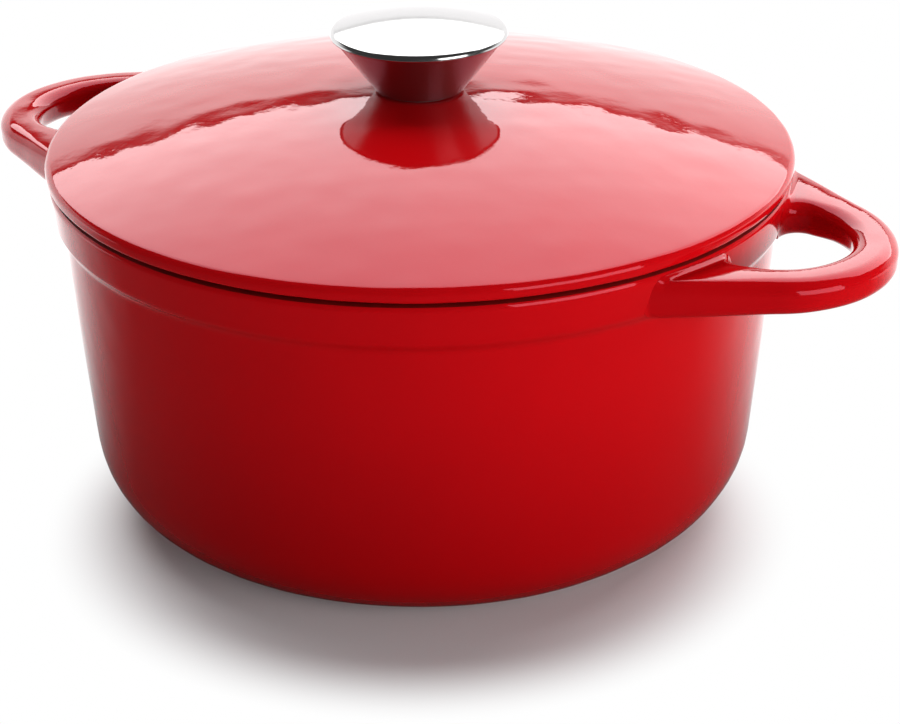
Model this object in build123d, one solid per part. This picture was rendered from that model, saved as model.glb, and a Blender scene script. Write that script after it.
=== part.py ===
from build123d import *
import math
import os

# A round enamelled cast-iron dutch oven: a pot with two loop handles cast on, and a domed lid
# with a stainless steel knob that one screw holds from below.
# Sizes are in millimetres. The origin is at the centre of the foot, +Z is up, and +X runs
# through the two handles.

# Pot
pot_height = 126.0            # from the foot to the rim's top face
wall_radius_at_foot = 116.05  # the straight outer wall, carried down to the foot's plane
wall_lean = 4.86              # degrees that the wall leans outwards
wall_thickness = 4.0
floor_thickness = 5.0
foot_corner = 30.5            # outer radius between the wall and the foot
floor_corner = 26.0           # inner radius between the wall and the floor
foot_recess_radius = 72.0     # the pot stands on the ring outside this recess
foot_recess_depth = 0.8
foot_recess_slope = 1.2

# Thicker band round the pot's mouth
band_bottom = 111.4
band_bottom_radius = 127.9
band_top_radius = 129.5
band_shelf = 3.0              # rise of the band's sloping underside
band_shelf_hollow = 5.0       # inner radius where the wall meets the underside
band_lower_edge = 4.5         # rounding of the band's lower edge
rim_outer_edge = 1.8          # roundings of the rim's flat top face
rim_inner_edge = 1.5

# Loop handles, cast in one with the pot
handle_reach = 173.2          # from the pot's axis to a handle's tip
handle_nose = 43.5            # plan radius of the rounded tip
handle_width = 14.5           # width of the loop, from the tip to the finger hole
handle_side_angle = 29.0      # degrees between a straight side and the X axis
handle_bottom = 109.8
handle_top = 122.2
handle_edge = 4.8             # rounding along the loop
handle_outer_root = 8.0       # plan radius where a side runs into the band
handle_inner_root = 8.0       # plan radius in the opening's corners at the band
handle_web_radius = 126.5     # the handles' hidden web inside the band

# Lid
lid_radius = 130.0
lid_thickness = 4.5
lid_dome_radius = 450.0
lid_dome_top = 150.3          # the dome's peak before the knob's seat is ground flat
lid_upper_edge = 3.0
lid_lower_edge = 2.0
knob_seat_height = 150.0
ring_outer_radius = 120.5     # locating ring that keeps the lid centred in the mouth
ring_width = 4.0
ring_depth = 6.0
ring_edge = 1.5
ring_hollow = 3.0             # inner radius between the ring and the lid's underside
screw_pad_radius = 15.0       # flat pad under the lid for the washers
screw_pad_height = 144.6
screw_hole_radius = 3.5
nub_radius = 3.0              # basting nubs under the lid
nub_height = 2.2
nub_rings = ((42.0, 8), (70.0, 14), (98.0, 20))  # ring radius and number of nubs

# Knob
gasket_thickness = 0.5
gasket_radius = 14.0
gasket_hole_radius = 6.5
knob_sheet = 1.0              # thickness of the spun steel
cone_base_radius = 15.2
cone_base_edge = 0.4          # rounding of the cone's lower edge
cone_flange_hole_radius = 6.25
cone_top_radius = 29.5
cap_radius = 30.5
cap_bottom = 169.5
cap_edge_height = 3.0         # from the cap's bottom to where its dome would meet its side
cap_upper_edge = 3.0          # roundings of the cap's edge
cap_lower_edge = 0.4
cap_top = 175.8
cap_sheet = 1.5
cap_lip_width = 3.0           # flat lip of the cap, which rests on the cone
boss_radius = 5.75
boss_pad_radius = 6.8
boss_top = 173.4
boss_gap = 0.2                # between the boss and the gasket
bore_radius = 3.0
bore_top = 163.0

# M6 pan-head screw with its two washers
screw_radius = 2.95
screw_length = 20.0
screw_head_radius = 6.0
screw_head_height = 3.7
screw_head_rounding = 1.6
screw_tip_chamfer = 0.8
recess_length = 5.6
recess_width = 1.2
recess_depth = 2.0
washer_thickness = 1.6
washer_radius = 6.0
washer_hole_radius = 3.2
lock_washer_radius = 5.9
lock_washer_hole_radius = 3.05
lock_washer_slit = 0.9
lock_washer_slit_angle = 25.0

# Heights and centres that follow from the sizes above
lid_centre_z = lid_dome_top - lid_dome_radius
gasket_top = knob_seat_height + gasket_thickness
washer_bottom = screw_pad_height - washer_thickness
lock_washer_bottom = washer_bottom - washer_thickness
handle_nose_x = handle_reach - handle_nose
finger_hole_radius = handle_nose - handle_width
wall_slope = math.tan(math.radians(wall_lean))
same_size = 0.01              # two sizes that differ by less count as the same


def turned(*corners):
    """A solid of revolution about Z from the corners (radius, height, rounding) of its section."""
    points = [(radius, height) for radius, height, _ in corners]
    roundings = [rounding for _, _, rounding in corners]
    section = make_face(FilletPolyline(*points, radius=roundings, close=True))
    return revolve(Plane.XZ * section, Axis.Z)


def ring(outer_radius, hole_radius, bottom, top):
    """A flat ring between two heights."""
    return turned(
        (hole_radius, bottom, 0),
        (outer_radius, bottom, 0),
        (outer_radius, top, 0),
        (hole_radius, top, 0),
    )


def circles(solid, radius, height):
    """The circular edges of a solid at a radius and a height."""
    found = []
    for edge in solid.edges().filter_by(GeomType.CIRCLE):
        size_error = max(abs(edge.radius - radius), abs(edge.arc_center.Z - height))
        if size_error < same_size:
            found.append(edge)
    return found


def wall_radius(height):
    """Outer radius of the pot's straight wall at a height."""
    return wall_radius_at_foot + height * wall_slope


def cavity_radius(height):
    """Inner radius of the pot's straight wall at a height."""
    return wall_radius(height) - wall_thickness / math.cos(math.radians(wall_lean))


def sphere_height(radius, sphere_radius, centre_z):
    """Height of a dome's surface at a distance from the axis."""
    return centre_z + math.sqrt(sphere_radius**2 - radius**2)


def handle_outline():
    """Plan of one handle: two straight sides, joined round the tip by an arc, with no opening."""
    lean = math.radians(handle_side_angle)
    side_x = handle_nose_x + handle_nose * math.sin(lean)
    side_y = handle_nose * math.cos(lean)
    root_x = handle_nose_x - handle_nose
    root_y = side_y + (side_x - root_x) * math.tan(lean)
    tip = ThreePointArc((side_x, -side_y), (handle_reach, 0), (side_x, side_y))
    near_side = Line((root_x, -root_y), (side_x, -side_y))
    far_side = Line((side_x, side_y), (root_x, root_y))
    root = Line((root_x, root_y), (root_x, -root_y))
    return make_face([near_side, tip, far_side, root])


def handle_web():
    """Both handles and the web that joins them, as one plate with rounded edges."""
    web = Circle(handle_web_radius)
    handle = handle_outline()
    plan = web + handle + mirror(handle, Plane.YZ)
    web_limit = handle_web_radius + same_size
    roots = [corner for corner in plan.vertices() if math.hypot(corner.X, corner.Y) < web_limit]
    plan = fillet(roots, handle_outer_root)
    opening = Pos(handle_nose_x, 0) * Circle(finger_hole_radius) - web
    opening = fillet(opening.vertices(), handle_inner_root)
    plan = plan - opening - mirror(opening, Plane.YZ)
    plate = extrude(Pos(0, 0, handle_bottom) * plan, handle_top - handle_bottom)
    levels = plate.edges().group_by(Axis.Z)
    return fillet(levels[0] + levels[-1], handle_edge)


def pot_casting():
    """The pot with its band and handles."""
    band_root = band_bottom - band_shelf
    outside = turned(
        (0, foot_recess_depth, 0),
        (foot_recess_radius - foot_recess_slope, foot_recess_depth, 0),
        (foot_recess_radius, 0, 0),
        (wall_radius_at_foot, 0, foot_corner),
        (wall_radius(band_root), band_root, band_shelf_hollow),
        (band_bottom_radius, band_bottom, band_lower_edge),
        (band_top_radius, pot_height, rim_outer_edge),
        (0, pot_height, 0),
    )
    mouth = cavity_radius(pot_height)
    above = pot_height + rim_inner_edge
    cavity = turned(
        (0, floor_thickness, 0),
        (cavity_radius(floor_thickness), floor_thickness, floor_corner),
        (mouth, pot_height, rim_inner_edge),
        (mouth + 2 * rim_inner_edge, pot_height, 0),
        (mouth + 2 * rim_inner_edge, above, 0),
        (0, above, 0),
    )
    return outside + handle_web() - cavity


def lid_shell():
    """The domed lid with its edge, locating ring and washer pad, before nubs and screw hole."""
    inner_dome = lid_dome_radius - lid_thickness
    seat_radius = math.sqrt(lid_dome_radius**2 - (knob_seat_height - lid_centre_z) ** 2)
    edge_x = lid_radius - lid_upper_edge
    edge_z = sphere_height(edge_x, lid_dome_radius - lid_upper_edge, lid_centre_z)
    edge_angle = math.atan2(edge_z - lid_centre_z, edge_x)
    dome_end = (
        lid_dome_radius * math.cos(edge_angle),
        lid_centre_z + lid_dome_radius * math.sin(edge_angle),
    )
    ring_inner_radius = ring_outer_radius - ring_width
    ring_bottom = pot_height - ring_depth
    ring_top = sphere_height(ring_inner_radius, inner_dome, lid_centre_z)
    pad_top = sphere_height(screw_pad_radius, inner_dome, lid_centre_z)
    upper_side = (lid_radius, edge_z)
    lower_side = (lid_radius, pot_height + lid_lower_edge)
    lower_land = (lid_radius - lid_lower_edge, pot_height)
    section = make_face(
        [
            Line((0, screw_pad_height), (0, knob_seat_height)),
            Line((0, knob_seat_height), (seat_radius, knob_seat_height)),
            RadiusArc((seat_radius, knob_seat_height), dome_end, lid_dome_radius),
            RadiusArc(dome_end, upper_side, lid_upper_edge),
            Line(upper_side, lower_side),
            RadiusArc(lower_side, lower_land, lid_lower_edge),
            Polyline(
                lower_land,
                (ring_outer_radius, pot_height),
                (ring_outer_radius, ring_bottom),
                (ring_inner_radius, ring_bottom),
                (ring_inner_radius, ring_top),
            ),
            RadiusArc((ring_inner_radius, ring_top), (screw_pad_radius, pad_top), -inner_dome),
            Line((screw_pad_radius, pad_top), (screw_pad_radius, screw_pad_height)),
            Line((screw_pad_radius, screw_pad_height), (0, screw_pad_height)),
        ]
    )
    shell = revolve(Plane.XZ * section, Axis.Z)
    edges = circles(shell, ring_outer_radius, ring_bottom)
    edges += circles(shell, ring_inner_radius, ring_bottom)
    shell = fillet(edges, ring_edge)
    return fillet(circles(shell, ring_inner_radius, ring_top), ring_hollow)


def lid_casting():
    """The lid with rings of basting nubs below and the hole for the knob's screw."""
    nub_spots = []
    for ring_radius, count in nub_rings:
        surface = sphere_height(ring_radius, lid_dome_radius - lid_thickness, lid_centre_z)
        for turn in PolarLocations(ring_radius, count):
            nub_spots.append(Pos(0, 0, surface + nub_radius - nub_height) * turn)
    nubs = [spot * Sphere(nub_radius) for spot in nub_spots]
    # The hole's cutter reaches well past both faces: from the rim's height to the knob's top.
    hole = Pos(0, 0, pot_height) * extrude(Circle(screw_hole_radius), cap_top - pot_height)
    return lid_shell() + nubs - hole


def knob_gasket():
    """The thin ring that keeps the knob's steel off the enamel."""
    return ring(gasket_radius, gasket_hole_radius, knob_seat_height, gasket_top)


def knob_skirt():
    """The knob's spun cone, with a base turned in towards the boss."""
    cone_run = (cone_top_radius - cone_base_radius) / (cap_bottom - gasket_top)
    sheet_across = knob_sheet * math.hypot(1, cone_run)
    base_top = gasket_top + knob_sheet
    inner_base = cone_base_radius + knob_sheet * cone_run - sheet_across
    return turned(
        (cone_flange_hole_radius, gasket_top, 0),
        (cone_base_radius, gasket_top, cone_base_edge),
        (cone_top_radius, cap_bottom, 0),
        (cone_top_radius - sheet_across, cap_bottom, 0),
        (inner_base, base_top, 0),
        (cone_flange_hole_radius, base_top, 0),
    )


def knob_cap():
    """The knob's domed cap: a spun sheet with a rounded edge, a flat lip and a pad for the boss."""
    dome_edge_z = cap_bottom + cap_edge_height
    rise = cap_top - dome_edge_z
    dome_radius = (cap_radius**2 + rise**2) / (2 * rise)
    centre_z = cap_top - dome_radius
    under_dome = dome_radius - cap_sheet
    lip_radius = cap_radius - cap_lip_width
    lip_top = sphere_height(lip_radius, under_dome, centre_z)
    pad_top = sphere_height(boss_pad_radius, under_dome, centre_z)
    section = make_face(
        [
            Line((0, boss_top), (0, cap_top)),
            RadiusArc((0, cap_top), (cap_radius, dome_edge_z), dome_radius),
            Polyline(
                (cap_radius, dome_edge_z),
                (cap_radius, cap_bottom),
                (lip_radius, cap_bottom),
                (lip_radius, lip_top),
            ),
            RadiusArc((lip_radius, lip_top), (boss_pad_radius, pad_top), -under_dome),
            Polyline((boss_pad_radius, pad_top), (boss_pad_radius, boss_top), (0, boss_top)),
        ]
    )
    cap = revolve(Plane.XZ * section, Axis.Z)
    cap = fillet(circles(cap, cap_radius, cap_bottom), cap_lower_edge)
    return fillet(circles(cap, cap_radius, dome_edge_z), cap_upper_edge)


def knob_boss():
    """The tapped bush under the cap, with a blind bore for the screw."""
    bottom = gasket_top + boss_gap
    return turned(
        (bore_radius, bottom, 0),
        (boss_radius, bottom, 0),
        (boss_radius, boss_top, 0),
        (0, boss_top, 0),
        (0, bore_top, 0),
        (bore_radius, bore_top, 0),
    )


def knob_screw():
    """The pan-head screw, head down, with a cross recess."""
    head_bottom = lock_washer_bottom - screw_head_height
    tip = lock_washer_bottom + screw_length
    screw = turned(
        (0, head_bottom, 0),
        (screw_head_radius, head_bottom, screw_head_rounding),
        (screw_head_radius, lock_washer_bottom, 0),
        (screw_radius, lock_washer_bottom, 0),
        (screw_radius, tip - screw_tip_chamfer, 0),
        (screw_radius - screw_tip_chamfer, tip, 0),
        (0, tip, 0),
    )
    slot = Box(recess_length, recess_width, 2 * recess_depth)
    cross = slot + Rot(0, 0, 90) * slot
    return screw - Pos(0, 0, head_bottom) * cross


def screw_washer():
    """The flat washer against the lid's pad."""
    return ring(washer_radius, washer_hole_radius, washer_bottom, screw_pad_height)


def screw_lock_washer():
    """The split washer, cut through on a slant at one side."""
    whole = ring(lock_washer_radius, lock_washer_hole_radius, lock_washer_bottom, washer_bottom)
    slit = Box(2 * washer_radius, lock_washer_slit, 3 * washer_thickness)
    middle_z = (lock_washer_bottom + washer_bottom) / 2
    return whole - Pos(washer_radius, 0, middle_z) * Rot(lock_washer_slit_angle, 0, 0) * slit


pieces = {
    "pot_casting": pot_casting(),
    "lid_casting": lid_casting(),
    "knob_gasket": knob_gasket(),
    "knob_skirt": knob_skirt(),
    "knob_cap": knob_cap(),
    "knob_boss": knob_boss(),
    "knob_screw": knob_screw(),
    "screw_washer": screw_washer(),
    "screw_lock_washer": screw_lock_washer(),
}

os.makedirs("parts", exist_ok=True)
for name, piece in pieces.items():
    export_step(piece, f"parts/{name}.step")
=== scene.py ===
import math

import bpy
import numpy as np
from bpy.props import FloatProperty, FloatVectorProperty, PointerProperty
from mathutils import Matrix, Vector


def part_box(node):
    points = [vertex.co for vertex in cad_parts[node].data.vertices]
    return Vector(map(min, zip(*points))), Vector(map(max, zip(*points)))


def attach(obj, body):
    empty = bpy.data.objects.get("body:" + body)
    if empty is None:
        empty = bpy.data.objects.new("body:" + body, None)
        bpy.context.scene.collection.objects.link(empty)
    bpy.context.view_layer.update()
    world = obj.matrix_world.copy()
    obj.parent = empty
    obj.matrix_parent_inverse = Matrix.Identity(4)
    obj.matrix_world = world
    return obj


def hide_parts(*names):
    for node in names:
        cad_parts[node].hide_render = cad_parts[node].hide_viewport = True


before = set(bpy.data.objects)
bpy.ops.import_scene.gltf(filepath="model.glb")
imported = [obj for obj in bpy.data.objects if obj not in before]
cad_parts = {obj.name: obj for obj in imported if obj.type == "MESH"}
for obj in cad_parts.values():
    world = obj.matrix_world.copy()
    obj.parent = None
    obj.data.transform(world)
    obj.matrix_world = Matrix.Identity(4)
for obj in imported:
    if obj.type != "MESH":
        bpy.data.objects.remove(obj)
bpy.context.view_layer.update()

# A round enamelled cast-iron dutch oven: a pot with two loop handles cast on, and a domed lid with a
# stainless steel knob. All sizes are in metres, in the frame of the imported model: +X runs through the
# two handles, +Z is up, and the origin is at the centre of the foot.

bl_info = {
    "name": "Enamelled Dutch Oven",
    "version": (1, 0, 0),
    "blender": (4, 5, 0),
    "location": "3D View > Sidebar > Dutch Oven",
    "description": "Builds an enamelled cast-iron dutch oven with its lid, its knob and a stage",
    "category": "Add Mesh",
}

_, pot_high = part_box("pot_casting")
lid_low, lid_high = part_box("lid_casting")
skirt_low, skirt_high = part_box("knob_skirt")
cap_low, cap_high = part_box("knob_cap")
_, boss_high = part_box("knob_boss")

TURNS = 256                     # points round a large turned piece
KNOB_TURNS = 192                # points round a piece of the knob
NUB_TURNS = 16                  # points round a basting nub
NUB_STEPS = 7                   # points from a nub's tip to its widest ring
ARC_STEP = math.radians(7.5)    # largest turn between two points of a rounding
CORNER_POINTS = 9               # points on each rounded corner of a handle's section
UP = np.array((0.0, 0.0, 1.0))

# Largest distance between two points of a section line
CASTING_SPACING = 0.003
DOME_SPACING = 0.002
KNOB_SPACING = 0.0012

# How many roundings short of a corner a dome's line stops
CORNER_ROOM = 3

# Points along a handle's tip, its side, its fillet and its sunk end
HANDLE_POINTS = (42, 42, 22, 6)

# Rings of basting nubs: radius and number of nubs
NUB_RINGS = ((0.042, 8), (0.07, 14), (0.098, 20))

# Numbers of the finishes on a casting's faces; the third is a dark red bare coat, which on the rim also
# paints the shade of the gap under the lid
RED, CREAM, GROUND_AND_GAP_SHADE = range(3)

# Numbers of four corners of the pot's section
FOOT_EDGE, FOOT_CORNER, RIM_OUTER, RIM_INNER = 2, 3, 6, 7

# For light from a wide patch of the surroundings, the cosines of the angles from its middle at which
# it starts and at which it has its full strength
BACKDROP_SPREAD = (0.2, 0.7)
RIGHT_SPREAD = (0.3, 0.95)
LEFT_SPREAD = (0.6, 0.98)


# Settings

def length(name, description, default):
    """A length in metres."""
    return FloatProperty(
        name=name, description=description, default=default, precision=5, subtype="DISTANCE", unit="LENGTH"
    )


def angle(name, description, degrees):
    """An angle, given in degrees and kept in radians."""
    return FloatProperty(
        name=name, description=description, default=math.radians(degrees), subtype="ANGLE", unit="ROTATION"
    )


def number(name, description, default):
    """A plain number."""
    return FloatProperty(name=name, description=description, default=default)


def colour(name, description, default):
    """A linear colour."""
    return FloatVectorProperty(
        name=name, description=description, default=default, size=3, min=0.0, max=1.0, subtype="COLOR"
    )


def place(name, description, default):
    """A point in metres."""
    return FloatVectorProperty(
        name=name, description=description, default=default, size=3, subtype="TRANSLATION", unit="LENGTH"
    )


class PotSizes(bpy.types.PropertyGroup):
    """Sizes of the pot's turned body."""

    height: length("Height", "From the foot to the rim's top face", pot_high.z)
    wall_radius: length("Wall Radius", "Outer wall, carried down to the foot's plane", 0.11605)
    wall_lean: angle("Wall Lean", "Angle by which the wall leans outwards", 4.86)
    wall_thickness: length("Wall Thickness", "Thickness of the wall", 0.004)
    floor_thickness: length("Floor Thickness", "Thickness of the floor", 0.005)
    foot_corner: length("Foot Corner", "Outer radius between the wall and the foot", 0.0305)
    floor_corner: length("Floor Corner", "Inner radius between the wall and the floor", 0.026)
    foot_radius: length("Foot Ring", "Inner radius of the ring that the pot stands on", 0.072)
    foot_depth: length("Foot Depth", "Depth of the recess inside the foot ring", 0.0008)
    foot_slope: length("Foot Slope", "Width of the slope round the recess", 0.0012)
    foot_edge: length("Foot Edge", "Rounding of the foot ring's inner edges", 0.0004)
    band_bottom: length("Band Bottom", "Height of the lower edge of the band round the mouth", 0.1114)
    band_shelf: length("Band Shelf", "Rise of the band's sloping underside", 0.003)
    band_hollow: length("Band Hollow", "Inner radius where the wall meets the band", 0.005)
    band_edge: length("Band Edge", "Rounding of the band's lower edge", 0.0045)
    band_bottom_radius: length("Band Bottom Radius", "Radius at the band's lower edge", 0.1279)
    band_top_radius: length("Band Top Radius", "Radius at the band's upper edge", 0.1295)
    rim_outer_edge: length("Rim Outer Edge", "Outer rounding of the rim", 0.003)
    rim_inner_edge: length("Rim Inner Edge", "Inner rounding of the rim", 0.0015)
    # Painted shade: the bare coat runs down over the rim's outer rounding and darkens the gap under the
    # lid.
    bare_rim_and_gap_shade: length("Bare Rim", "How far the bare ground coat reaches down from the rim's top", 0.0011)
    swell: length("Swell", "Height of the slow waves in the enamel", 0.00002)


class HandleSizes(bpy.types.PropertyGroup):
    """Sizes of the two loop handles."""

    reach: length("Reach", "From the pot's axis to a handle's tip", pot_high.x)
    nose_radius: length("Nose Radius", "Plan radius of the rounded tip", 0.0436)
    width: length("Width", "Width of the loop at its tip", 0.0152)
    side_angle: angle("Side Angle", "Angle between a straight side and the line through both handles", 28.9)
    bottom: length("Bottom", "Height of the loop's underside", 0.1098)
    top: length("Top", "Height of the loop's upper side", 0.1222)
    edge: length("Edge", "Rounding along the loop", 0.0048)
    crown: length("Crown", "How far the upper side's edges lie below its middle", 0.0006)
    droop: angle("Droop", "Angle by which the upper side falls towards the tip", 1.4)
    root_radius: length("Root Radius", "Radius of the circle that the fillets at the roots touch", 0.128)
    outer_root: length("Outer Root", "Radius of the fillet outside each root", 0.0045)
    inner_root: length("Inner Root", "Radius of the fillet in the opening's corners", 0.008)
    root_rise: length("Root Rise", "Height by which each root's upper side climbs up the band", 0.0012)
    root_spread: length("Root Spread", "Distance from the band at which each root starts to climb", 0.002)
    sunk_radius: length("Sunk Radius", "Radius of the loop's hidden ends inside the wall", 0.124)


class LidSizes(bpy.types.PropertyGroup):
    """Sizes of the lid."""

    radius: length("Radius", "Outer radius of the lid", lid_high.x)
    thickness: length("Thickness", "Thickness of the dome", 0.0045)
    dome_radius: length("Dome Radius", "Radius of the dome's sphere", 0.45)
    dome_top: length("Dome Top", "Height of the dome's peak before the knob's seat is ground flat", 0.1503)
    seat_height: length("Seat Height", "Height of the flat seat under the knob", lid_high.z)
    upper_edge: length("Upper Edge", "Rounding of the upper edge", 0.003)
    lower_edge: length("Lower Edge", "Rounding of the lower edge", 0.002)
    ring_bottom: length("Ring Bottom", "Height of the locating ring's lower face", lid_low.z)
    ring_radius: length("Ring Radius", "Outer radius of the locating ring", 0.1205)
    ring_width: length("Ring Width", "Width of the locating ring", 0.004)
    ring_edge: length("Ring Edge", "Rounding of the locating ring's edges", 0.0015)
    ring_hollow: length("Ring Hollow", "Inner radius between the ring and the underside", 0.003)
    pad_radius: length("Pad Radius", "Radius of the flat pad for the washers", 0.015)
    pad_height: length("Pad Height", "Height of the flat pad for the washers", 0.1446)
    pad_edge: length("Pad Edge", "Rounding at the pad and the screw hole", 0.0003)
    hole_radius: length("Hole Radius", "Radius of the screw hole", 0.0035)
    nub_radius: length("Nub Radius", "Radius of a basting nub's sphere", 0.003)
    nub_height: length("Nub Height", "How far a nub stands out of the underside", 0.0022)
    swell: length("Swell", "Height of the slow waves in the enamel", 0.000028)


class KnobSizes(bpy.types.PropertyGroup):
    """Sizes of the knob's spun cone and cap."""

    bottom: length("Bottom", "Height of the cone's base", skirt_low.z)
    sheet: length("Sheet", "Thickness of the cone's steel", 0.001)
    base_radius: length("Base Radius", "Radius of the cone's base", 0.0152)
    base_edge: length("Base Edge", "Rounding of the cone's lower edge", 0.0004)
    hole_radius: length("Hole Radius", "Hole in the cone's base, round the boss", 0.00625)
    cone_radius: length("Cone Radius", "Radius of the cone's upper edge", skirt_high.x)
    cap_radius: length("Cap Radius", "Radius of the cap", cap_high.x)
    cap_bottom: length("Cap Bottom", "Height of the cap's lower edge", cap_low.z)
    cap_top: length("Cap Top", "Height of the cap's peak", cap_high.z)
    cap_edge_height: length("Cap Edge", "From the cap's bottom to where dome and side would meet", 0.002)
    cap_upper_edge: length("Cap Upper Edge", "Rounding between the cap's dome and its side", 0.002)
    cap_lower_edge: length("Cap Lower Edge", "Rounding of the cap's lower edge", 0.0004)
    cap_sheet: length("Cap Sheet", "Thickness of the cap's steel", 0.0015)
    lip_width: length("Lip Width", "Width of the cap's flat lip", 0.003)
    pad_radius: length("Pad Radius", "Radius of the cap's pad for the boss", 0.0068)
    pad_height: length("Pad Height", "Height of the cap's pad for the boss", boss_high.z)
    crease: length("Crease", "Rounding of the sheet's crisp corners", 0.00015)


class FinishColours(bpy.types.PropertyGroup):
    """Colours of the finishes and of the floor."""

    enamel: colour("Enamel", "Red enamel outside", (0.335, 0.0012, 0.0026))
    # Painted shade: the enamel's colour is darkened towards the foot, for the shade that falls on the lower
    # wall.
    foot_painted_shade: number("Foot Painted Shade", "How much of the enamel's colour is left at the foot", 0.66)
    full_tone_height: length("Full Tone Height", "Height from which the enamel has its full colour", 0.11)
    sheen_tint: colour("Enamel Sheen", "Tint of the enamel's reflections", (1.0, 0.34, 0.44))
    inside: colour("Inside", "Cream enamel inside", (0.80, 0.74, 0.60))
    # Partly painted shade: this dark red stands for red enamel in the shade of the gap under the lid.
    ground_and_gap_shade: colour("Ground Coat", "Dark red ground coat on the rim and the foot", (0.065, 0.0012, 0.001))
    brushed: colour("Brushed Steel", "The knob's cone", (0.42, 0.43, 0.43))
    polished: colour("Polished Steel", "The knob's cap", (0.48, 0.475, 0.475))
    polished_edge: colour("Polished Edge", "The cap seen at a grazing angle", (0.88, 0.87, 0.875))
    screw: colour("Screw Steel", "The screw and its washers", (0.56, 0.55, 0.53))
    rubber: colour("Gasket", "The gasket under the knob", (0.02, 0.02, 0.021))
    floor: colour("Floor", "The floor under the pot", (0.66, 0.64, 0.65))
    dim_floor: colour("Dim Floor", "The floor near the pot, as reflections show it", (0.085, 0.085, 0.085))


class StageSettings(bpy.types.PropertyGroup):
    """The camera, the lamps, the floor and the light that surrounds them."""

    eye: place("Eye", "The camera's place", (0.40604, -0.71543, 0.43734))
    aim: place("Aim", "The point that the camera looks at", (0.008513, 0.004699, 0.045385))
    roll: angle("Roll", "Turn of the camera about its own line of sight", -0.442)
    lens: FloatProperty(
        name="Lens", description="Focal length on a sensor 36 mm wide", default=100.38, unit="CAMERA"
    )
    lamp_aim: place("Lamp Aim", "The point that the lamps face", (0.0, 0.0, 0.14))
    lamp_distance: length("Lamp Distance", "From the lamps' aim to each lamp", 1.5)
    ceiling_light: number("Ceiling Light", "Radiance of the ceiling panel, above and behind the pot", 4.1)
    ceiling_rise: angle("Ceiling Rise", "Angle of the ceiling panel above the horizon", 51.8)
    ceiling_roll: angle("Ceiling Roll", "Turn of the ceiling panel in its own plane", 2.0)
    ceiling_aside: length("Ceiling Aside", "How far the ceiling panel stands to the right", 0.375)
    ceiling_width: length("Ceiling Width", "Width of the ceiling panel", 3.39)
    ceiling_depth: length("Ceiling Depth", "Depth of the ceiling panel", 1.77)
    side_light: number("Side Light", "Radiance of the side panel, in front at the right", 4.0)
    side_turn: angle("Side Turn", "Turn of the side panel to the right, from behind the pot", 136.0)
    side_rise: angle("Side Rise", "Angle of the side panel above the horizon", 10.0)
    side_width: length("Side Width", "Width of the side panel", 1.0)
    side_height: length("Side Height", "Height of the side panel", 0.8)
    right_fill: number("Right Fill", "Radiance of the low soft light at the right", 9.0)
    right_fill_turn: angle("Right Fill Turn", "Turn of the right fill, from behind the pot", 115.0)
    left_fill: number("Left Fill", "Radiance of the low soft light at the left", 6.0)
    left_fill_turn: angle("Left Fill Turn", "Turn of the left fill, from behind the pot", -62.0)
    fill_bottom: angle("Fill Bottom", "Angle above the horizon at which the fills start to fade", 8.0)
    fill_top: angle("Fill Top", "Angle above the horizon at which the fills end", 22.0)
    even_light: number("Even Light", "Radiance from all round, for dull surfaces", 0.02)
    backdrop_light: number("Backdrop Light", "Radiance of the backdrop and far floor in reflections", 1.68)
    backdrop_bottom: angle("Backdrop Bottom", "Angle at which the backdrop starts to fade upwards", 16.5)
    backdrop_top: angle("Backdrop Top", "Angle at which the backdrop ends upwards", 20.5)
    room_light: number("Room Light", "Radiance of the dim room above the backdrop", 0.06)
    floor_half: length("Floor Half", "Half the width of the floor", 4.0)
    floor_drop: length("Floor Drop", "How far the floor lies below the foot", 0.0002)
    shadow_middle: place("Shadow Middle", "Middle of the floor's shadow", (0.014, -0.028, 0.0))
    shadow_core: length("Shadow Core", "Radius at which the floor starts to turn white", 0.096)
    shadow_end: length("Shadow End", "Radius at which the floor is white", 0.135)
    mirrored_turn: angle("Mirrored Turn", "Turn of the way in which the mirrored floor brightens", 3.5)
    mirrored_start: length("Mirrored Start", "Where the mirrored floor starts to brighten", -0.055)
    mirrored_end: length("Mirrored End", "Where the mirrored floor is bright", 0.23)


class DutchOvenSettings(bpy.types.PropertyGroup):
    """All settings of the dutch oven."""

    pot: PointerProperty(type=PotSizes)
    handles: PointerProperty(type=HandleSizes)
    lid: PointerProperty(type=LidSizes)
    knob: PointerProperty(type=KnobSizes)
    colours: PointerProperty(type=FinishColours)
    stage: PointerProperty(type=StageSettings)


# Section lines and surfaces

def straight(start, end, spacing):
    """Points spaced evenly between two ends, which are left out."""
    count = max(1, math.ceil(np.linalg.norm(end - start) / spacing))
    share = np.arange(1, count)[:, None] / count
    return start + share * (end - start)


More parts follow.
